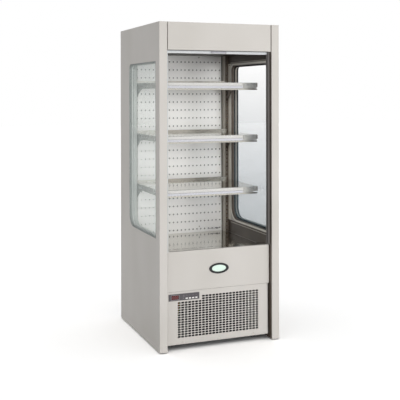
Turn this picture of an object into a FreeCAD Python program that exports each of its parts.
import FreeCAD, Part
import math
import os
import re
import Sketcher

# Open multideck display fridge, in millimetres.
# Origin: centre of the footprint, on the floor. +X to the right seen from the front, +Y to the back,
# +Z up. The open front faces -Y. Every position below is a formula of the sizes in the sheet.

Vector = FreeCAD.Vector
document = FreeCAD.newDocument("DisplayFridge")

SIZES = {
    # Overall body
    "width": 710,
    "depth": 745,
    "height": 1770,
    "floor_gap": 6,             # side walls clear the floor by this much
    "wall_thickness": 45,       # foam-filled side walls
    "edge_rounding": 3,         # front edges of the side walls
    "sheet": 1.5,               # folded sheet metal
    "fit": 0.3,                 # assembly clearance between neighbouring pieces
    # Side windows
    "window_setback": 62,       # front plane to the window's front edge
    "window_length": 498,
    "window_sill": 605,
    "window_height": 955,
    "window_corner": 35,        # top rear corner radius
    "window_sweep": 78,         # bottom rear corner radius
    "surround_width": 12,       # raised rim round the window on the inner liner
    "surround_lift": 2,
    "seal_width": 10,
    "glazing_depth": 28,        # outer face of the outer pane to the inner face of the inner pane
    "pane_thickness": 5,
    # Base and feet
    "base_top": 46,
    "base_flange": 18,
    "foot_inset": 70,
    "foot_radius": 22,
    "foot_pad": 9,
    "stud_radius": 6,
    # Insulated well with the evaporator, and the deck over it
    "kick_joint": 316,          # underside of the well, joint of the two front panels
    "well_floor": 40,
    "well_wall": 22,
    "deck_height": 514,
    "deck_flange": 12,
    "kick_height": 532,
    "seat_width": 20,           # ledges that carry the deck tray
    "grille_depth": 67,
    "return_slot_pitch": 50,
    "return_slot_length": 37,
    "return_slot_width": 5,
    "return_slot_count": 12,
    # Front panels below the opening
    "kick_setback": 34,
    "fascia_gap": 4,
    "fascia_depth": 17.7,
    "panel_setback": 2,
    "panel_gap": 10,
    "panel_bottom": 28,
    "joint_gap": 1.5,
    "slot_columns": 24,
    "slot_rows": 17,
    "column_pitch": 20.2,
    "row_pitch": 13.1,
    "grille_slot_width": 13,
    "grille_slot_height": 7.5,
    "lowest_row": 69.5,
    "badge_centre": 424,
    "badge_width": 116,
    "badge_height": 58,
    "badge_rim": 14,
    "badge_lift": 4,
    # Controller in the louvred panel
    "controller_inset": 7,
    "controller_width": 177,
    "controller_height": 36,
    "controller_bottom": 267,
    "controller_lift": 3,
    "controller_depth": 20,
    "bezel_rim": 5,
    "display_inset": 15,
    "display_width": 43,
    "display_height": 24,
    "key_inset": 97,
    "key_pitch": 18.6,
    "key_width": 13,
    "key_height": 7,
    "key_rise": 5.5,            # key bottom above the bezel's bottom edge
    "key_depth": 4,
    "key_stroke": 0.8,
    "key_clearance": 0.4,
    # Back wall and air duct
    "back_foam": 45,
    "duct_depth": 36,
    "vent_count": 8,
    "vent_length": 200,
    "vent_width": 6,
    "vent_pitch": 22,
    "vent_low": 70,
    "cover_recess": 10,         # rear cover inside the back wall's face
    "gland_radius": 11,         # supply cable gland
    "gland_bore": 4.5,
    "gland_inset": 32,
    # Roof, ceiling and canopy
    "roof_thickness": 44,
    "roof_drop": 1.8,           # roof top below the top edge of the side walls
    "ceiling_height": 1622,
    "baffle_setback": 98,
    "outlet_depth": 50,
    "outlet_lip": 12,
    "outlet_height": 25,
    "outlet_cell_pitch": 45,
    "outlet_wall": 4,
    "canopy_bottom": 1620,
    "canopy_setback": 4,
    "canopy_gap": 5,
    "canopy_return": 16,
    # Night blind
    "blind_setback": 38,
    "guide_width": 22,
    "guide_depth": 12,
    "guide_clearance": 1,
    "roller_height": 1690,
    "roller_radius": 24,
    "pin_radius": 4,
    "plate_thickness": 3,
    "cloth_thickness": 0.6,
    "cloth_margin": 15,
    "bar_height": 17,
    "bar_depth": 10,
    "grip_width": 88,
    "grip_height": 9,
    "grip_lift": 5,
    # Shelf ladders
    "ladder_width": 20,
    "ladder_depth": 55,
    "ladder_slot_pitch": 25,
    "ladder_slot_width": 4.4,
    "ladder_slot_height": 16,
    "first_slot": 14,           # lowest slot centre above the deck
    "slot_number": 41,
    # Shelves
    "shelf_slot": 12,           # slot, counted from the lowest, that carries the lowest shelf
    "shelf_step": 12,           # slots from one shelf to the next
    "hook_drop": 20,            # shelf top above its hooks' slot
    "hook_spacing": 3,          # slots between a bracket's two hooks
    "hook_neck": 7,
    "hook_tooth": 6,
    "hook_thickness": 3,
    "shelf_setback": 157,
    "upstand": 14,
    "bracket_thickness": 3,
    "bracket_arm": 34,
    "bracket_drop": 112,
    "bracket_curve": 180,       # length of the curved web, from the ladder forwards
    "bracket_ledge": 14,
    "rail_depth": 7,
    "rail_height": 34,
    "rail_wall": 2,
    "rail_inset": 6,
    "lip_notch": 24,            # corner of the lip left open beside the bracket
    "hem_height": 8,
    # Refrigeration
    "evaporator_fan_spread": 150,
    "evaporator_fan_radius": 62,
    "condenser_fan_radius": 108,
    "tip_clearance": 4,
    "hub_radius": 24,
    "shaft_radius": 5,
    "shaft_end": 2,             # shaft showing in front of the hub
    "blade_count": 5,
    "blade_thickness": 2.4,
    "blade_pitch": 15,          # degrees out of the fan's plane
    "fan_depth": 26,
    "motor_radius": 30,
    "motor_length": 42,
    "strap_width": 18,
    "plenum_setback": 215,
    "evaporator_setback": 310,
    "evaporator_depth": 240,
    "evaporator_length": 520,
    "evaporator_height": 130,
    "condenser_shift": 12,
    "condenser_setback": 60,
    "condenser_depth": 44,
    "condenser_width": 380,
    "condenser_height": 250,
    "coil_end": 10,
    "shroud_depth": 34,
    "compressor_setback": 520,
    "compressor_shift": -90,
    "compressor_radius": 84,
    "compressor_height": 178,
    "grommet_radius": 11,
    "grommet_height": 14,
    "pipe_radius": 5,
    "pipe_bend": 24,
    "pipe_sides": 8,
    "bend_step": 0.4,           # radians of a pipe bend from one outline to the next
    "pan_shift": 190,
    "pan_width": 200,
    "pan_length": 300,
    "pan_height": 52,
}

# Named positions, each worked out from the sizes.
PLACES = {
    "inside": "width / 2 - wall_thickness",
    "liner": "inside - fit",
    "front": "-depth / 2",
    "rear": "depth / 2",
    "window_front": "front + window_setback",
    "window_rear": "window_front + window_length",
    "window_top": "window_sill + window_height",
    "kick_face": "front + kick_setback",
    "panel_face": "kick_face + panel_setback",
    "well_face": "kick_face + fascia_depth + fit",
    "well_base": "kick_joint + well_floor",
    "grille_rear": "well_face + grille_depth",
    "seat_top": "deck_height - sheet - deck_flange - fit",
    "duct_rear": "rear - back_foam",
    "back_face": "duct_rear - duct_depth",
    "cover_face": "rear - cover_recess",
    "roof_top": "height - roof_drop",
    "roof_base": "roof_top - roof_thickness",
    "canopy_face": "front + canopy_setback",
    "baffle_face": "front + baffle_setback",
    "outlet_front": "baffle_face + sheet + fit",
    "outlet_rear": "outlet_front + outlet_depth",
    "blind_line": "front + blind_setback",
    "guide_front": "blind_line - guide_width / 2",
    "guide_rear": "blind_line + guide_width / 2",
    "guide_inner": "liner - guide_depth",
    "bar_top": "canopy_bottom",
    "bar_bottom": "bar_top - bar_height",
    "roller_line": "blind_line + cloth_thickness / 2 + fit + roller_radius",
    "plate_inner": "liner - plate_thickness",
    "ladder_face": "back_face - fit - ladder_depth",
    "ladder_inner": "liner - ladder_width",
    "ladder_middle": "liner - ladder_width / 2",
    "slot_zero": "deck_height + first_slot",
    "lowest_shelf": "slot_zero + ladder_slot_pitch * shelf_slot + hook_drop",
    "shelf_rise": "ladder_slot_pitch * shelf_step",
    "shelf_front": "front + shelf_setback",
    "lip_face": "shelf_front + rail_depth",
    "tray_half": "ladder_middle - bracket_thickness / 2 - fit",
    "fascia_half": "inside - fascia_gap",
    "panel_half": "inside - panel_gap",
    "panel_top": "kick_joint - joint_gap",
    "controller_left": "controller_inset - panel_half",
    "controller_face": "panel_face - controller_lift",
    "coil_front": "front + condenser_setback",
    "coil_rear": "coil_front + condenser_depth",
    "coil_base": "base_top + fit",
    "plenum_face": "front + plenum_setback",
    "fan_height": "(well_base + deck_height) / 2",
}


def formula(text):
    """Write a formula with every named size and position traced back to the sheet."""
    def swap(match):
        word = match.group()
        if word in PLACES:
            return "(" + formula(PLACES[word]) + ")"
        return "Sizes." + word if word in SIZES else word
    return re.sub(r"[a-z_]+", swap, str(text))


def value(text):
    """Number that a formula stands for."""
    return float(sheet.evalExpression(formula(text)))


def fill_sheet():
    """Put the driving sizes in the sheet, one row each, with the size's name as its alias."""
    cells = document.addObject("Spreadsheet::Sheet", "Sizes")
    for row, (name, number) in enumerate(SIZES.items(), start=1):
        cells.set(f"A{row}", name.replace("_", " "))
        cells.set(f"B{row}", str(number))
        cells.setAlias(f"B{row}", name)
    document.recompute()
    return cells


sheet = fill_sheet()
nodes = []


def finish(piece, label):
    """Register a finished sub-part under its label."""
    piece.Label = label
    nodes.append(piece)
    return piece


def place(piece, x=0, y=0, z=0):
    """Bind a piece's position to formulas."""
    for axis, text in zip("xyz", (x, y, z)):
        piece.setExpression(f"Placement.Base.{axis}", formula(text))


# ---------------------------------------------------------------------------------------------
# Sketches and features
# ---------------------------------------------------------------------------------------------

def new_body(name):
    """Empty body for a piece that is padded, cut and patterned."""
    return document.addObject("PartDesign::Body", name + "_body")


def sketch_on(body, role, level):
    """Sketch on one of the body's own planes, moved along that plane's world axis to a level."""
    plane = next(item for item in body.Origin.OriginFeatures if item.Role == role)
    sketch = body.newObject("Sketcher::SketchObject", "Sketch")
    sketch.AttachmentSupport = [(plane, "")]
    sketch.MapMode = "FlatFace"
    sign = "-" if role == "XZ_Plane" else ""
    sketch.setExpression("AttachmentOffset.Base.z", formula(f"{sign}({level})"))
    return sketch


def arc_between(start, end, radius, left):
    """Arc of less than half a turn from start to end, with its centre on the left or right."""
    chord = end - start
    middle = (start + end) / 2
    side = Vector(-chord.y, chord.x, 0).normalize()
    reach = math.sqrt(max(radius ** 2 - (chord.Length / 2) ** 2, 0))
    centre = middle + side * (reach if left else -reach)
    first, last = (start, end) if left else (end, start)
    angles = [math.atan2(point.y - centre.y, point.x - centre.x) for point in (first, last)]
    return Part.ArcOfCircle(Part.Circle(centre, Vector(0, 0, 1), radius), *angles)


def fix_point(sketch, curve, end, x, y):
    """Tie one end of a curve to formulas for its two coordinates."""
    for kind, text in (("DistanceX", x), ("DistanceY", y)):
        index = sketch.addConstraint(Sketcher.Constraint(kind, -1, 1, curve, end, value(text)))
        sketch.setExpression(f"Constraints[{index}]", formula(text))


def trace(sketch, path):
    """Draw a closed path. A point is (x, y), or (x, y, side, radius) where an arc follows it."""
    corners = [Vector(value(point[0]), value(point[1]), 0) for point in path]
    first_curve = sketch.GeometryCount
    ends = []
    for index, point in enumerate(path):
        start, end = corners[index], corners[(index + 1) % len(path)]
        if len(point) == 2:
            sketch.addGeometry(Part.LineSegment(start, end))
            ends.append((1, 2))
            continue
        turns_left = point[2] == "left"
        curve = sketch.addGeometry(arc_between(start, end, value(point[3]), turns_left))
        ends.append((1, 2) if turns_left else (2, 1))
        radius = sketch.addConstraint(Sketcher.Constraint("Radius", curve, value(point[3])))
        sketch.setExpression(f"Constraints[{radius}]", formula(point[3]))
    for index, point in enumerate(path):
        curve = first_curve + index
        following = (index + 1) % len(path)
        sketch.addConstraint(Sketcher.Constraint(
            "Coincident", curve, ends[index][1], first_curve + following, ends[following][0]))
        fix_point(sketch, curve, ends[index][0], point[0], point[1])


def trace_circle(sketch, x, y, radius):
    """Draw a circle tied to formulas for its centre and radius."""
    centre = Vector(value(x), value(y), 0)
    curve = sketch.addGeometry(Part.Circle(centre, Vector(0, 0, 1), value(radius)))
    index = sketch.addConstraint(Sketcher.Constraint("Radius", curve, value(radius)))
    sketch.setExpression(f"Constraints[{index}]", formula(radius))
    fix_point(sketch, curve, 3, x, y)


def draw(sketch, outlines):
    """Draw paths and circles. A circle is written ("circle", x, y, radius)."""
    for outline in outlines:
        if outline[0] == "circle":
            trace_circle(sketch, *outline[1:])
        else:
            trace(sketch, outline)


def pad(body, role, low, high, *outlines):
    """Add the outlines to the body as a solid from low to high along the plane's world axis."""
    sketch = sketch_on(body, role, high if role == "XZ_Plane" else low)
    draw(sketch, outlines)
    feature = body.newObject("PartDesign::Pad", "Pad")
    feature.Profile = sketch
    feature.setExpression("Length", formula(f"({high}) - ({low})"))
    return feature


def pocket(body, role, low, high, *outlines):
    """Cut the outlines out of the body from low to high along the plane's world axis."""
    sketch = sketch_on(body, role, low if role == "XZ_Plane" else high)
    draw(sketch, outlines)
    feature = body.newObject("PartDesign::Pocket", "Pocket")
    feature.Profile = sketch
    feature.setExpression("Length", formula(f"({high}) - ({low})"))
    return feature


def repeat(body, feature, direction, pitch, count):
    """Repeat a feature along one of its sketch's own axes."""
    pattern = body.newObject("PartDesign::LinearPattern", "LinearPattern")
    pattern.Originals = [feature]
    pattern.Direction = (feature.Profile[0], [direction])
    pattern.setExpression("Length", formula(f"({pitch}) * (({count}) - 1)"))
    pattern.setExpression("Occurrences", formula(count))
    body.Tip = pattern
    return pattern


def bevel(body, block, direction, size):
    """Chamfer the edges of a block's outermost face in a direction."""
    block.recompute(True)
    reaches = [face.CenterOfMass.dot(direction) for face in block.Shape.Faces]
    feature = body.newObject("PartDesign::Chamfer", "Chamfer")
    feature.Base = (block, [f"Face{reaches.index(max(reaches)) + 1}"])
    feature.setExpression("Size", formula(size))
    return feature


def prism(label, role, low, high, *outlines):
    """Sub-part made by one pad."""
    body = new_body(label)
    pad(body, role, low, high, *outlines)
    return finish(body, label)


def rectangle(left, right, low, high):
    """Closed path round a rectangle."""
    return [(left, low), (right, low), (right, high), (left, high)]


def polygon(x, y, radius, sides, squash=1):
    """Closed regular path round a centre, with its second direction shortened by squash."""
    turns = [2 * math.pi * step / sides for step in range(sides)]
    return [(f"{x} + ({radius}) * {math.cos(turn):.6f}",
             f"{y} + ({radius}) * {squash * math.sin(turn):.6f}") for turn in turns]


def shell_box(label, role, low, high, outline, inner, cut_low, cut_high):
    """Sub-part padded as a block and hollowed from one side, as a folded tray is."""
    body = new_body(label)
    pad(body, role, low, high, outline)
    pocket(body, role, cut_low, cut_high, inner)
    return finish(body, label)


# ---------------------------------------------------------------------------------------------
# Side walls and glazing
# ---------------------------------------------------------------------------------------------

def window_outline(margin):
    """Side window's outline in the YZ plane, moved inwards by a margin."""
    front_edge = f"window_front + {margin}"
    rear_edge = f"window_rear - ({margin})"
    low, high = f"window_sill + {margin}", f"window_top - ({margin})"
    corner, sweep = f"(window_corner - ({margin}))", f"(window_sweep - ({margin}))"
    return [
        (front_edge, low),
        (f"{rear_edge} - {sweep}", low, "left", sweep),
        (rear_edge, f"{low} + {sweep}"),
        (rear_edge, f"{high} - {corner}", "left", corner),
        (f"{rear_edge} - {corner}", high),
        (front_edge, high),
    ]


def between(side, inner, outer):
    """Low and high X of a piece that lies from inner to outer on one side."""
    return (inner, outer) if side > 0 else (f"-({outer})", f"-({inner})")


def side_wall(name, side):
    """Foam-filled wall: rounded front edges, a raised rim on the liner and the window through it."""
    body = new_body(name)
    low, high = between(side, "inside", "width / 2")
    pad(body, "XY_Plane", "floor_gap", "height", [
        (low, "rear"),
        (low, "front + edge_rounding", "left", "edge_rounding"),
        (f"{low} + edge_rounding", "front"),
        (f"{high} - edge_rounding", "front", "left", "edge_rounding"),
        (high, "front + edge_rounding"),
        (high, "rear"),
    ])
    pad(body, "YZ_Plane", *between(side, "inside - surround_lift", "inside"),
        window_outline("-surround_width"))
    pocket(body, "YZ_Plane", *between(side, "inside - surround_lift", "width / 2"),
           window_outline("0"))
    finish(body, "side_wall_" + name)


def glazing(name, side):
    """Sealed double-glazed unit: two panes, and the edge seal with its spacer that frames them."""
    outer = "width / 2"
    outer_inner = "width / 2 - pane_thickness"
    inner_outer = "width / 2 - glazing_depth + pane_thickness"
    inner = "width / 2 - glazing_depth"
    pane = window_outline("seal_width / 2 + fit")
    prism("outer_pane_" + name, "YZ_Plane", *between(side, outer_inner, outer), pane)
    prism("inner_pane_" + name, "YZ_Plane", *between(side, inner, inner_outer), pane)
    body = new_body("seal_" + name)
    pad(body, "YZ_Plane", *between(side, inner, outer),
        window_outline("fit"), window_outline("seal_width / 2"))
    pad(body, "YZ_Plane", *between(side, f"{inner_outer} + fit", f"{outer_inner} - fit"),
        window_outline("seal_width / 2"), window_outline("seal_width"))
    finish(body, "glazing_seal_" + name)


# ---------------------------------------------------------------------------------------------
# Base, feet, back and well
# ---------------------------------------------------------------------------------------------

def base_pan():
    """Base pan folded down on four sides, which carries the refrigeration unit."""
    low, rear_edge = "base_top - base_flange", "cover_face - sheet - fit"
    shell_box("base_pan", "XY_Plane", low, "base_top",
              rectangle("-liner", "liner", "well_face", rear_edge),
              rectangle("sheet - liner", "liner - sheet", "well_face + sheet", f"{rear_edge} - sheet"),
              low, "base_top - sheet")


def foot(name, x_sign, y):
    """Levelling foot: a pad with six spanner flats on a threaded stud."""
    body = new_body(name)
    pad(body, "XY_Plane", 0, "foot_pad", polygon(0, 0, "foot_radius", 6))
    pad(body, "XY_Plane", "foot_pad", "base_top - sheet - fit", polygon(0, 0, "stud_radius", 12))
    place(body, f"{x_sign} * (inside - foot_inset)", y, 0)
    finish(body, "foot_" + name)


def back_and_roof():
    """Insulated back wall, roof, and the louvred cover of the machine space."""
    prism("back_wall", "XY_Plane", "kick_joint", "roof_top",
          rectangle("-liner", "liner", "duct_rear", "rear"))
    prism("roof_panel", "XY_Plane", "roof_base", "roof_top",
          rectangle("-liner", "liner", "baffle_face + sheet + fit", "duct_rear - fit"))
    cover = new_body("cover")
    gland_x, gland_z = "gland_inset - inside", "kick_joint - gland_inset"
    pad(cover, "XZ_Plane", "cover_face - sheet", "cover_face",
        rectangle("-liner", "liner", "base_top - base_flange", "kick_joint - fit"))
    pad(cover, "XZ_Plane", "cover_face - 2 * sheet", "rear - fit",
        polygon(gland_x, gland_z, "gland_radius", 6))
    pocket(cover, "XZ_Plane", "cover_face - 3 * sheet", "rear + 1",
           polygon(gland_x, gland_z, "gland_bore", 12))
    vent = pocket(cover, "XZ_Plane", "cover_face - 2 * sheet", "cover_face + sheet",
                  rectangle("-inside / 2 - vent_length / 2", "-inside / 2 + vent_length / 2",
                            "vent_low", "vent_low + vent_width"),
                  rectangle("inside / 2 - vent_length / 2", "inside / 2 + vent_length / 2",
                            "vent_low", "vent_low + vent_width"))
    repeat(cover, vent, "V_Axis", "vent_pitch", "vent_count")
    finish(cover, "rear_cover")


def evaporator_well():
    """Insulated trough under the deck: floor and front wall, closed behind by the back wall."""
    prism("evaporator_well", "YZ_Plane", "-liner", "liner", [
        ("well_face", "kick_joint"),
        ("duct_rear - fit", "kick_joint"),
        ("duct_rear - fit", "well_base"),
        ("well_face + well_wall", "well_base"),
        ("well_face + well_wall", "seat_top"),
        ("well_face", "seat_top"),
    ])


def back_panel():
    """Back panel of the display space, with a bottom flange that carries the deck's rear edge."""
    prism("back_panel", "YZ_Plane", "-liner", "liner", [
        ("back_face - seat_width", "seat_top - sheet"),
        ("back_face + sheet", "seat_top - sheet"),
        ("back_face + sheet", "ceiling_height"),
        ("back_face", "ceiling_height"),
        ("back_face", "seat_top"),
        ("back_face - seat_width", "seat_top"),
    ])


def return_grille():
    """Slotted sill over the front of the well: it draws in the air curtain and seats the deck."""
    body = new_body("sill")
    pad(body, "YZ_Plane", "-liner", "liner", [
        ("well_face", "seat_top + fit"),
        ("well_face + sheet", "seat_top + fit"),
        ("well_face + sheet", "kick_height - sheet"),
        ("grille_rear - sheet", "kick_height - sheet"),
        ("grille_rear - sheet", "seat_top - sheet"),
        ("grille_rear + seat_width", "seat_top - sheet"),
        ("grille_rear + seat_width", "seat_top"),
        ("grille_rear", "seat_top"),
        ("grille_rear", "kick_height"),
        ("well_face", "kick_height"),
    ])
    middle = "(well_face + well_wall + grille_rear) / 2"
    start = "-return_slot_pitch * (return_slot_count - 1) / 2"
    slot = pocket(body, "XY_Plane", "kick_height - 2 * sheet", "kick_height + sheet",
                  rectangle(f"{start} - return_slot_length / 2", f"{start} + return_slot_length / 2",
                            f"{middle} - return_slot_width / 2",
                            f"{middle} + return_slot_width / 2"))
    repeat(body, slot, "H_Axis", "return_slot_pitch", "return_slot_count")
    finish(body, "return_grille")


def deck_tray():
    """Lift-out deck, folded down at its front and rear edges."""
    front_edge, rear_edge = "grille_rear + fit", "back_face - fit"
    low, top = "deck_height - sheet - deck_flange", "deck_height"
    body = new_body("deck")
    half = "liner - surround_lift - fit"
    pad(body, "YZ_Plane", f"-({half})", half, [
        (front_edge, low),
        (f"{front_edge} + sheet", low),
        (f"{front_edge} + sheet", f"{top} - sheet"),
        (f"{rear_edge} - sheet", f"{top} - sheet"),
        (f"{rear_edge} - sheet", low),
        (rear_edge, low),
        (rear_edge, top),
        (front_edge, top),
    ])
    notch = "ladder_inner - 2 * fit"
    pocket(body, "XY_Plane", f"{low} - 1", f"{top} + 1",
           rectangle(notch, "liner", "ladder_face - 2 * fit", "back_face"),
           rectangle("-liner", f"-({notch})", "ladder_face - 2 * fit", "back_face"))
    finish(body, "deck_tray")


# ---------------------------------------------------------------------------------------------
# Front panels, badge and controller
# ---------------------------------------------------------------------------------------------

def upper_fascia():
    """Plain front panel of the well, folded back on four sides."""
    rear_edge = "kick_face + fascia_depth"
    low = "kick_joint"
    shell_box("upper_fascia", "XZ_Plane", "kick_face", rear_edge,
              rectangle("-fascia_half", "fascia_half", low, "kick_height"),
              rectangle("sheet - fascia_half", "fascia_half - sheet",
                        f"{low} + sheet", "kick_height - sheet"),
              "kick_face + sheet", rear_edge)


def badge():
    """Blank oval badge: a raised rim round a plain inner plate."""
    body = new_body("oval")
    half, squash = "badge_width / 2", value("badge_height / badge_width")
    pad(body, "XZ_Plane", "kick_face - badge_lift", "kick_face - fit / 3",
        polygon(0, "badge_centre", half, 32, squash))
    pocket(body, "XZ_Plane", "kick_face - badge_lift - 1", "kick_face - badge_lift / 2",
           polygon(0, "badge_centre", f"{half} - badge_rim", 32, squash))
    finish(body, "badge")


def slot_centres():
    """Centres of the louvre slots, with the controller's corner left plain."""
    columns, rows = int(value("slot_columns")), int(value("slot_rows"))
    left = value("-column_pitch * (slot_columns - 1) / 2")
    low = value("lowest_row")
    clear_x = value("controller_left + controller_width")
    clear_z = value("controller_bottom - grille_slot_height")
    for column in range(columns):
        for row in range(rows):
            x = left + column * value("column_pitch")
            z = low + row * value("row_pitch")
            if x - value("grille_slot_width") / 2 > clear_x or z < clear_z:
                yield x, z


def loop(left, right, low, high, y):
    """Closed rectangular wire in the plane at y."""
    corners = [(left, low), (right, low), (right, high), (left, high), (left, low)]
    return Part.makePolygon([Vector(x, y, z) for x, z in corners])


def louvred_panel():
    """Lower front panel: a sheet pierced by rows of short slots, with folded returns."""
    y = value("panel_face")
    half, low, high = value("panel_half"), value("panel_bottom"), value("panel_top")
    slot_x, slot_z = value("grille_slot_width") / 2, value("grille_slot_height") / 2
    rim = value("bezel_rim")
    left, bottom = value("controller_left"), value("controller_bottom")
    loops = [loop(-half, half, low, high, y)]
    loops.append(loop(left + rim, left + value("controller_width") - rim,
                      bottom + rim, bottom + value("controller_height") - rim, y))
    for x, z in slot_centres():
        loops.append(loop(x - slot_x, x + slot_x, z - slot_z, z + slot_z, y))
    pattern = document.addObject("Part::Feature", "LouvrePattern")
    pattern.Shape = Part.Compound(loops)
    face = document.addObject("Part::Extrusion", "LouvredFace")
    face.Base = pattern
    face.DirMode = "Custom"
    face.Dir = Vector(0, 1, 0)
    face.Solid = True
    face.FaceMakerClass = "Part::FaceMakerBullseye"
    face.setExpression("LengthFwd", formula("sheet"))
    returns = new_body("returns")
    pad(returns, "XY_Plane", "panel_bottom", "panel_top",
        rectangle("-panel_half", "sheet - panel_half", "panel_face + sheet",
                  "kick_face + fascia_depth"))
    pad(returns, "XY_Plane", "panel_bottom", "panel_bottom + sheet",
        rectangle("-panel_half", "panel_half", "panel_face + sheet", "kick_face + fascia_depth"))
    pad(returns, "XY_Plane", "panel_bottom", "panel_top",
        rectangle("panel_half - sheet", "panel_half", "panel_face + sheet",
                  "kick_face + fascia_depth"))
    panel = document.addObject("Part::MultiFuse", "LouvredPanel")
    panel.Shapes = [face, returns]
    panel.Refine = False
    finish(panel, "louvred_panel")


def key_left(index):
    """Left edge of a controller key's opening."""
    return f"controller_left + key_inset + key_pitch * {index}"


def controller():
    """Temperature controller: a bezel with a sunk display and four key openings, and its housing."""
    body = new_body("controller")
    right = "controller_left + controller_width"
    top = "controller_bottom + controller_height"
    low, high = "controller_bottom + bezel_rim + fit", f"{top} - bezel_rim - fit"
    pad(body, "XZ_Plane", "controller_face", "panel_face - fit",
        rectangle("controller_left", right, "controller_bottom", top))
    pad(body, "XZ_Plane", "panel_face - fit", "panel_face + controller_depth",
        rectangle("controller_left + bezel_rim + fit", f"{right} - bezel_rim - fit", low, high))
    left = "controller_left + display_inset"
    middle = "controller_bottom + controller_height / 2"
    pocket(body, "XZ_Plane", "controller_face - 1", "controller_face + controller_lift / 3",
           rectangle(left, f"{left} + display_width",
                     f"{middle} - display_height / 2", f"{middle} + display_height / 2"))
    bottom = "controller_bottom + key_rise"
    openings = [rectangle(key_left(index), f"{key_left(index)} + key_width",
                          bottom, f"{bottom} + key_height") for index in range(4)]
    pocket(body, "XZ_Plane", "controller_face - 1",
           "controller_face + key_depth + key_stroke + key_clearance", *openings)
    finish(body, "controller")
    for index in range(4):
        key(index, bottom)


def key(index, bottom):
    """Controller key with chamfered edges, standing proud of the bezel by a little over its stroke."""
    left, gap = key_left(index), "key_clearance"
    body = new_body(f"key_{index + 1}")
    proud = "controller_face - key_stroke - key_clearance"
    block = pad(body, "XZ_Plane", proud, "controller_face + key_depth - key_clearance",
                rectangle(f"{left} + {gap}", f"{left} + key_width - {gap}",
                          f"{bottom} + {gap}", f"{bottom} + key_height - {gap}"))
    bevel(body, block, Vector(0, -1, 0), "key_stroke / 2")
    finish(body, f"controller_key_{index + 1}")


# ---------------------------------------------------------------------------------------------
# Top of the cabinet
# ---------------------------------------------------------------------------------------------

def canopy():
    """Front panel over the opening, folded back at the ends and bottom and lapped over the roof."""
    body = new_body("canopy")
    half = "inside - canopy_gap"
    pad(body, "YZ_Plane", f"-({half})", half, [
        ("canopy_face", "canopy_bottom"),
        ("canopy_face + canopy_return", "canopy_bottom"),
        ("canopy_face + canopy_return", "canopy_bottom + sheet"),
        ("canopy_face + sheet", "canopy_bottom + sheet"),
        ("canopy_face + sheet", "height - sheet"),
        ("outlet_rear", "height - sheet"),
        ("outlet_rear", "height"),
        ("canopy_face", "height"),
    ])
    for low, high in ((f"-({half})", f"sheet - ({half})"), (f"{half} - sheet", half)):
        pad(body, "YZ_Plane", low, high,
            rectangle("canopy_face", "canopy_face + canopy_return", "canopy_bottom", "height"))
    finish(body, "canopy_fascia")


def ceiling():
    """Ceiling sheet with the air curtain's long outlet and an upstand that closes the duct."""
    body = new_body("ceiling")
    top = "ceiling_height + sheet"
    pad(body, "YZ_Plane", "-liner", "liner", [
        ("baffle_face", "ceiling_height"),
        ("back_face - fit", "ceiling_height"),
        ("back_face - fit", top),
        ("baffle_face + sheet", top),
        ("baffle_face + sheet", "roof_top"),
        ("baffle_face", "roof_top"),
    ])
    pocket(body, "XY_Plane", "ceiling_height - sheet", "ceiling_height + 2 * sheet",
           rectangle("outlet_lip - liner", "liner - outlet_lip",
                     "outlet_front + outlet_lip", "outlet_rear - outlet_lip"))
    finish(body, "ceiling_panel")


def air_outlet():
    """Honeycomb block that straightens the air curtain, with a row of deep cells."""
    body = new_body("outlet")
    low, high = "ceiling_height + sheet + fit", "ceiling_height + sheet + fit + outlet_height"
    pad(body, "XY_Plane", low, high,
        rectangle("fit - liner", "liner - fit", "outlet_front", "outlet_rear"))
    count = "floor((2 * inside - 4 * outlet_lip) / outlet_cell_pitch)"
    left = f"-outlet_cell_pitch * {count} / 2 + outlet_wall / 2"
    cell = pocket(body, "XY_Plane", f"{low} - 1", f"{high} + 1",
                  rectangle(left, f"{left} + outlet_cell_pitch - outlet_wall",
                            "outlet_front + outlet_lip", "outlet_rear - outlet_lip"))
    repeat(body, cell, "H_Axis", "outlet_cell_pitch", count)
    finish(body, "air_outlet")


# ---------------------------------------------------------------------------------------------
# Night blind
# ---------------------------------------------------------------------------------------------

def blind_guide(name, side):
    """Channel that the blind's bar runs in, with the roller's bearing plate at its top."""
    body = new_body("guide_" + name)
    base = f"{side} * liner"
    lip = f"{side} * guide_inner"
    web = f"{side} * (liner - sheet)"
    path = [
        (base, "guide_front"), (base, "guide_rear"), (lip, "guide_rear"),
        (lip, "guide_rear - sheet"), (web, "guide_rear - sheet"),
        (web, "guide_front + sheet"), (lip, "guide_front + sheet"), (lip, "guide_front"),
    ]
    top = "roller_height - roller_radius - 4 * fit"
    pad(body, "XY_Plane", "kick_height + fit", top, path)
    reach = "roller_line + pin_radius * 3"
    pad(body, "YZ_Plane", *between(side, "plate_inner", "liner"),
        rectangle("guide_front", reach, f"{top} - guide_width / 2", "roller_height + pin_radius * 3"))
    pocket(body, "YZ_Plane", *between(side, "plate_inner - 1", "liner + 1"),
           polygon("roller_line", "roller_height", "pin_radius + 2 * fit", 12))
    finish(body, "blind_guide_" + name)


def blind_roller():
    """Spring roller with the stored blind wound on it and a pin at each end."""
    body = new_body("roller")
    pad(body, "YZ_Plane", "cloth_margin - guide_inner", "guide_inner - cloth_margin",
        ("circle", "roller_line", "roller_height", "roller_radius"))
    pad(body, "YZ_Plane", "fit - liner", "liner - fit",
        polygon("roller_line", "roller_height", "pin_radius", 12))
    finish(body, "blind_roller")


def blind_cloth():
    """Stretch of blind from the roller down to its bar."""
    prism("blind_cloth", "XY_Plane", "bar_top + fit", "roller_height",
          rectangle("cloth_margin - guide_inner", "guide_inner - cloth_margin",
                    "blind_line - cloth_thickness / 2", "blind_line + cloth_thickness / 2"))


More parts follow.
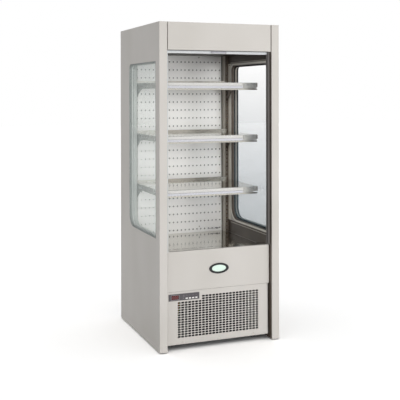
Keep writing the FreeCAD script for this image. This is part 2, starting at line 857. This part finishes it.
def blind_bar():
    """Bottom bar of the blind: rounded front corners, guide tongues and a finger pull."""
    body = new_body("bar")
    front_edge, rear_edge = "blind_line - bar_depth / 2", "blind_line + bar_depth / 2"
    radius = "bar_depth / 4"
    half = "guide_inner - guide_clearance"
    pad(body, "YZ_Plane", f"-({half})", half, [
        (front_edge, f"bar_bottom + {radius}", "left", radius),
        (f"{front_edge} + {radius}", "bar_bottom"),
        (rear_edge, "bar_bottom"),
        (rear_edge, "bar_top"),
        (f"{front_edge} + {radius}", "bar_top", "left", radius),
        (front_edge, f"bar_top - {radius}"),
    ])
    tongue = "liner - sheet - guide_clearance"
    pad(body, "YZ_Plane", f"-({tongue})", tongue,
        rectangle("blind_line - bar_depth / 4", "blind_line + bar_depth / 4",
                  "bar_bottom + 2", "bar_top - 2"))
    middle = "(bar_bottom + bar_top) / 2"
    pad(body, "XZ_Plane", f"{front_edge} - grip_lift", "blind_line",
        [("grip_height / 2 - grip_width / 2", f"{middle} - grip_height / 2"),
         ("grip_width / 2 - grip_height / 2", f"{middle} - grip_height / 2"),
         ("grip_width / 2", middle),
         ("grip_width / 2 - grip_height / 2", f"{middle} + grip_height / 2"),
         ("grip_height / 2 - grip_width / 2", f"{middle} + grip_height / 2"),
         ("-grip_width / 2", middle)])
    finish(body, "blind_bar")


# ---------------------------------------------------------------------------------------------
# Ladders and shelves
# ---------------------------------------------------------------------------------------------

def ladder(name, side):
    """Upright channel in the rear corner, slotted for the shelf hooks."""
    body = new_body("ladder_" + name)
    outer, inner = f"{side} * liner", f"{side} * ladder_inner"
    outer_web, inner_web = f"{side} * (liner - sheet)", f"{side} * (ladder_inner + sheet)"
    rear_edge = "back_face - fit"
    pad(body, "XY_Plane", "seat_top + fit", "ceiling_height - fit", [
        (outer, rear_edge), (outer, "ladder_face"), (inner, "ladder_face"), (inner, rear_edge),
        (inner_web, rear_edge), (inner_web, "ladder_face + sheet"),
        (outer_web, "ladder_face + sheet"), (outer_web, rear_edge),
    ])
    middle = f"{side} * ladder_middle"
    slot = pocket(body, "XZ_Plane", "ladder_face - sheet", "ladder_face + 2 * sheet",
                  rectangle(f"{middle} - ladder_slot_width / 2", f"{middle} + ladder_slot_width / 2",
                            "slot_zero - ladder_slot_height / 2",
                            "slot_zero + ladder_slot_height / 2"))
    repeat(body, slot, "V_Axis", "ladder_slot_pitch", "slot_number")
    finish(body, "ladder_" + name)


def hook(slot_centre):
    """Points of a bracket's hook: a neck through the slot and a tooth down behind it."""
    low = f"{slot_centre} - ladder_slot_height / 2 + fit"
    back = "ladder_face + sheet + fit * 2"
    return [
        ("ladder_face - fit", f"{low} + hook_neck"),
        (f"{back} + hook_thickness", f"{low} + hook_neck"),
        (f"{back} + hook_thickness", f"{low} - hook_tooth"),
        (back, f"{low} - hook_tooth"),
        (back, low),
        ("ladder_face - fit", low),
    ]


def bracket(label, side, top):
    """Shelf bracket: a curved web with two hooks, and a ledge under the shelf's edge."""
    body = new_body(label)
    middle = f"{side} * ladder_middle"
    seat = f"{top} - sheet - fit"
    front_edge, rear_edge = "lip_face + sheet + fit * 2", "ladder_face - fit"
    slot = f"({top} - hook_drop)"
    lower_slot = f"({slot} - ladder_slot_pitch * hook_spacing)"
    arm = f"{top} - bracket_arm"
    tip = f"{top} - bracket_drop"
    curve = "bracket_curve"
    path = [(front_edge, seat), (front_edge, f"{arm} + bracket_arm / 4")]
    path += [("lip_face + bracket_arm", arm)]
    path += [(f"{rear_edge} - {curve}", arm, "right", f"{curve} * 1.1")]
    path += [(f"{rear_edge} - bracket_arm / 2", f"{tip} + bracket_arm / 2"), (rear_edge, tip)]
    path += list(reversed(hook(lower_slot)))
    path += list(reversed(hook(slot)))
    path += [(rear_edge, seat)]
    pad(body, "YZ_Plane", f"{middle} - bracket_thickness / 2", f"{middle} + bracket_thickness / 2",
        path)
    inner = f"ladder_middle - bracket_thickness / 2"
    pad(body, "YZ_Plane", *between(side, f"{inner} - bracket_ledge", inner),
        rectangle("lip_face + bracket_arm", f"{rear_edge} - bracket_arm", f"{seat} - sheet", seat))
    finish(body, label)


def shelf_tray(label, top):
    """Shelf: folded sheet with a deep front lip, a hem under it and an upstand at the back."""
    body = new_body(label)
    rear_edge = "ladder_face - fit * 2"
    lip_low = f"{top} - rail_height - hem_height"
    pad(body, "YZ_Plane", "-tray_half", "tray_half", [
        ("lip_face", lip_low),
        ("lip_face + hem_height", lip_low),
        ("lip_face + hem_height", f"{lip_low} + sheet"),
        ("lip_face + sheet", f"{lip_low} + sheet"),
        ("lip_face + sheet", f"{top} - sheet"),
        (rear_edge, f"{top} - sheet"),
        (rear_edge, f"{top} + upstand"),
        (f"{rear_edge} - sheet", f"{top} + upstand"),
        (f"{rear_edge} - sheet", top),
        ("lip_face", top),
    ])
    corner = "tray_half - lip_notch"
    for low, high in ((f"-tray_half - 1", f"-({corner})"), (corner, "tray_half + 1")):
        pocket(body, "XZ_Plane", "lip_face - 1", "lip_face + sheet",
               rectangle(low, high, f"{top} - rail_height", f"{top} - sheet"))
    finish(body, label)


def price_rail(label, top):
    """Clear ticket rail clipped over the shelf's front lip, with a rib along its middle."""
    face, wall = "shelf_front", "rail_wall"
    back = "lip_face - fit"
    low, high = f"{top} - rail_height", f"{top}"
    middle = f"{top} - rail_height / 2"
    prism(label, "YZ_Plane", "rail_inset - tray_half", "tray_half - rail_inset", [
        (face, low),
        (back, low),
        (back, f"{low} + {wall}"),
        (f"{face} + {wall}", f"{low} + {wall}"),
        (f"{face} + {wall}", f"{high} - {wall}"),
        (back, f"{high} - {wall}"),
        (back, high),
        (face, high),
        (face, f"{middle} + {wall} / 2"),
        (f"{face} - {wall} / 2", middle),
        (face, f"{middle} - {wall} / 2"),
    ])


def shelf(number):
    """One shelf with its two brackets and its price rail."""
    top = f"(lowest_shelf + shelf_rise * {number - 1})"
    shelf_tray(f"shelf_{number}_tray", top)
    bracket(f"shelf_{number}_bracket_left", -1, top)
    bracket(f"shelf_{number}_bracket_right", 1, top)
    price_rail(f"shelf_{number}_price_rail", top)


# ---------------------------------------------------------------------------------------------
# Refrigeration
# ---------------------------------------------------------------------------------------------

def fan(label, x, y, z, tip):
    """Axial fan: a hub and flat pitched blades that widen towards their swept tips."""
    body = new_body(label)
    half = "fan_depth / 2"
    hub = pad(body, "XY_Plane", f"-{half}", half, polygon(0, 0, "hub_radius", 16))
    pad(body, "XY_Plane", half, f"{half} + shaft_end", ("circle", 0, 0, "shaft_radius"))
    root, end, lead = "hub_radius * 0.8", f"({tip}) * 0.92", f"({tip}) * 0.06"
    sketch = sketch_on(body, "XY_Plane", 0)
    sketch.AttachmentOffset.Rotation = FreeCAD.Rotation(Vector(1, 0, 0), value("blade_pitch"))
    trace(sketch, [
        (root, "-hub_radius * 0.45"),
        (end, f"{lead} - ({tip}) * 0.24"),
        (end, f"{lead} + ({tip}) * 0.24"),
        (root, "hub_radius * 0.45"),
    ])
    blade = body.newObject("PartDesign::Pad", "Blade")
    blade.Profile = sketch
    blade.setExpression("Length", formula("blade_thickness"))
    turn = body.newObject("PartDesign::PolarPattern", "Blades")
    turn.Originals = [blade]
    turn.Axis = (hub.Profile[0], ["N_Axis"])
    turn.Angle = 360
    turn.setExpression("Occurrences", formula("blade_count"))
    body.Tip = turn
    body.Placement.Rotation = FreeCAD.Rotation(Vector(1, 0, 0), 90)
    place(body, x, y, z)
    finish(body, label)


def motor_on_strap(body, x, plate_rear, z, opening):
    """Fan motor behind an opening, carried by a strap bolted to the plate on both sides."""
    back = f"{plate_rear} - sheet / 2 + fan_depth / 2 + fit"
    wide = f"{opening} + 12"
    pad(body, "XY_Plane", f"{z} - strap_width / 2", f"{z} + strap_width / 2", [
        (f"{x} - ({wide})", plate_rear),
        (f"{x} - ({wide}) + 2 * sheet", plate_rear),
        (f"{x} - ({wide}) + 2 * sheet", back),
        (f"{x} + {wide} - 2 * sheet", back),
        (f"{x} + {wide} - 2 * sheet", plate_rear),
        (f"{x} + {wide}", plate_rear),
        (f"{x} + {wide}", f"{back} + 2 * sheet"),
        (f"{x} - ({wide})", f"{back} + 2 * sheet"),
    ])
    pad(body, "XZ_Plane", back, f"{back} + motor_length", polygon(x, z, "motor_radius", 12))


def evaporator():
    """Fan plate across the well with its two fans, and the finned coil behind it."""
    body = new_body("plenum")
    opening = "evaporator_fan_radius + tip_clearance"
    rear_face = "plenum_face + sheet"
    orifices = [polygon(f"{sign} * evaporator_fan_spread", "fan_height", opening, 24)
                for sign in (-1, 1)]
    pad(body, "XZ_Plane", "plenum_face", rear_face,
        rectangle("-liner", "liner", "well_base + fit", "deck_height - sheet - fit"), *orifices)
    for sign in (-1, 1):
        motor_on_strap(body, f"{sign} * evaporator_fan_spread", rear_face, "fan_height", opening)
    finish(body, "evaporator_fan_plate")
    for name, sign in (("left", -1), ("right", 1)):
        fan("evaporator_fan_" + name, f"{sign} * evaporator_fan_spread",
            f"{rear_face} - sheet / 2", "fan_height", "evaporator_fan_radius")
    coil("evaporator_coil", 0, "evaporator_length", "front + evaporator_setback",
         "evaporator_depth", "well_base + fit", "evaporator_height")


def coil(label, x, length, front_edge, thickness, low, high_above):
    """Finned coil: the fin block between two end plates that stand a little proud of it."""
    body = new_body(label)
    half = f"({length}) / 2"
    top = f"{low} + {high_above}"
    rear_edge = f"{front_edge} + {thickness}"
    inset = "coil_end / 2"
    pad(body, "XY_Plane", f"{low} + {inset}", f"{top} - {inset}",
        rectangle(f"{x} - {half} + coil_end", f"{x} + {half} - coil_end",
                  f"{front_edge} + {inset}", f"{rear_edge} - {inset}"))
    for low_x, high_x in ((f"{x} - {half} + coil_end", f"{x} - {half} + coil_end - sheet"),
                          (f"{x} + {half} - coil_end + sheet", f"{x} + {half} - coil_end")):
        pad(body, "YZ_Plane", high_x, low_x, rectangle(front_edge, rear_edge, low, top))
    finish(body, label)


def condenser():
    """Condenser behind the louvres, the shroud that its fan draws through, and the fan."""
    coil("condenser_coil", "condenser_shift", "condenser_width", "coil_front",
         "condenser_depth", "coil_base", "condenser_height")
    middle = "(coil_base + condenser_height / 2)"
    opening = "condenser_fan_radius + tip_clearance"
    left = "condenser_shift - condenser_width / 2 + coil_end"
    right = "condenser_shift + condenser_width / 2 - coil_end"
    face, back = "coil_rear + fit", "coil_rear + shroud_depth"
    top = "coil_base + condenser_height"
    body = new_body("shroud")
    pad(body, "XZ_Plane", face, back, rectangle(left, right, "coil_base", top))
    pocket(body, "XZ_Plane", f"{face} - 1", f"{back} - sheet",
           rectangle(f"{left} + sheet", f"{right} - sheet",
                     "coil_base + sheet", f"{top} - sheet"))
    pocket(body, "XZ_Plane", f"{back} - 2 * sheet", f"{back} + 1",
           polygon("condenser_shift", middle, opening, 32))
    motor_on_strap(body, "condenser_shift", back, middle, opening)
    finish(body, "condenser_shroud")
    fan("condenser_fan", "condenser_shift", f"{back} - sheet / 2", middle, "condenser_fan_radius")


def compressor():
    """Hermetic compressor: a domed shell on a mounting plate with rubber grommets."""
    body = new_body("compressor")
    shell = pad(body, "XY_Plane", "grommet_height", "grommet_height + compressor_height",
                polygon(0, 0, "compressor_radius", 20))
    bevel(body, shell, Vector(0, 0, 1), "compressor_height * 0.2")
    reach = "compressor_radius * 1.15"
    pad(body, "XY_Plane", "grommet_height - 2 * sheet", "grommet_height",
        rectangle(f"-{reach}", reach, "-compressor_radius", "compressor_radius"))
    corner_x, corner_y = f"({reach} - grommet_radius * 1.2)", "(compressor_radius - grommet_radius)"
    pad(body, "XY_Plane", "fit", "grommet_height - 2 * sheet",
        *[polygon(f"{sx} * {corner_x}", f"{sy} * {corner_y}", "grommet_radius", 8)
          for sx in (-1, 1) for sy in (-1, 1)])
    place(body, "compressor_shift", "front + compressor_setback", "base_top")
    finish(body, "compressor")


def ring(centre, along, up, radius):
    """Outline of a pipe: a regular polygon square to the pipe's direction."""
    side = along.cross(up)
    turns = [2 * math.pi * step / value("pipe_sides") for step in range(int(value("pipe_sides")))]
    corners = [centre + (up * math.cos(turn) + side * math.sin(turn)) * radius for turn in turns]
    return Part.makePolygon(corners + corners[:1])


def bent_pipe(points, up, radius, bend):
    """Pipe of straight runs joined by bends of one radius, all in the plane square to up."""
    first = (points[1] - points[0]).normalize()
    rings = [ring(points[0], first, up, radius)]
    for before, corner, after in zip(points, points[1:], points[2:]):
        incoming, outgoing = (corner - before).normalize(), (after - corner).normalize()
        turn = incoming.getAngle(outgoing)
        entry = corner - incoming * bend * math.tan(turn / 2)
        inward = (outgoing - incoming * math.cos(turn)).normalize()
        centre = entry + inward * bend
        steps = math.ceil(turn / value("bend_step"))
        for step in range(steps + 1):
            angle = turn * step / steps
            spoke = incoming * math.sin(angle) - inward * math.cos(angle)
            along = incoming * math.cos(angle) + inward * math.sin(angle)
            rings.append(ring(centre + spoke * bend, along, up, radius))
    last = (points[-1] - points[-2]).normalize()
    rings.append(ring(points[-1], last, up, radius))
    return Part.makeLoft(rings, True, True)


def pipework():
    """Discharge pipe to the condenser and suction pipe up to the well."""
    radius, bend, gap = value("pipe_radius"), value("pipe_bend"), value("fit")
    x, y = value("compressor_shift"), value("front + compressor_setback")
    shell = value("compressor_radius") + gap
    low = value("base_top + grommet_height + compressor_height / 2")
    end_plate = value("condenser_shift - condenser_width / 2 + coil_end - sheet") - gap
    coil_middle = value("coil_front + condenser_depth / 2")
    lane, riser = end_plate - 2 * bend, x + shell + 2 * bend
    discharge = [Vector(x - shell, y, low), Vector(lane, y, low),
                 Vector(lane, coil_middle, low), Vector(end_plate, coil_middle, low)]
    suction = [Vector(x + shell, y, low), Vector(riser, y, low),
               Vector(riser, y, value("kick_joint") - gap)]
    tubes = document.addObject("Part::Feature", "Pipework")
    tubes.Shape = Part.Compound([bent_pipe(discharge, Vector(0, 0, 1), radius, bend),
                                 bent_pipe(suction, Vector(0, 1, 0), radius, bend)])
    finish(tubes, "refrigerant_pipes")


def drain_pan():
    """Open pan on the base that catches and evaporates the defrost water."""
    left, right = "pan_shift - pan_width / 2", "pan_shift + pan_width / 2"
    middle = "front + compressor_setback"
    low, high = "base_top + fit", "base_top + fit + pan_height"
    shell_box("drain_pan", "XY_Plane", low, high,
              rectangle(left, right, f"{middle} - pan_length / 2", f"{middle} + pan_length / 2"),
              rectangle(f"{left} + sheet", f"{right} - sheet",
                        f"{middle} - pan_length / 2 + sheet", f"{middle} + pan_length / 2 - sheet"),
              f"{low} + sheet", high)


# ---------------------------------------------------------------------------------------------
# Assembly
# ---------------------------------------------------------------------------------------------

for side_name, side_sign in (("left", -1), ("right", 1)):
    side_wall(side_name, side_sign)
    glazing(side_name, side_sign)
    ladder(side_name, side_sign)
    blind_guide(side_name, side_sign)
    foot("front_" + side_name, side_sign, "well_face + foot_inset")
    foot("rear_" + side_name, side_sign, "rear - foot_inset")
base_pan()
back_and_roof()
evaporator_well()
back_panel()
return_grille()
deck_tray()
upper_fascia()
badge()
louvred_panel()
controller()
canopy()
ceiling()
air_outlet()
blind_roller()
blind_cloth()
blind_bar()
for shelf_number in (1, 2, 3):
    shelf(shelf_number)
evaporator()
condenser()
compressor()
pipework()
drain_pan()
document.recompute()


def check_document():
    """Stop if any object failed, or if a sub-part's shape is missing or broken."""
    for item in document.Objects:
        if "Invalid" in item.State or "Error" in item.State:
            raise RuntimeError(f"{item.Name} ({item.Label}) failed: {item.State}")
    for piece in nodes:
        if piece.Shape.isNull() or not piece.Shape.isValid() or not piece.Shape.Solids:
            raise RuntimeError(f"{piece.Label} has no valid solid")


check_document()
os.makedirs("parts", exist_ok=True)
for piece in nodes:
    piece.Shape.exportStep(f"parts/{piece.Label}.step")
print(len(nodes), "sub-parts")
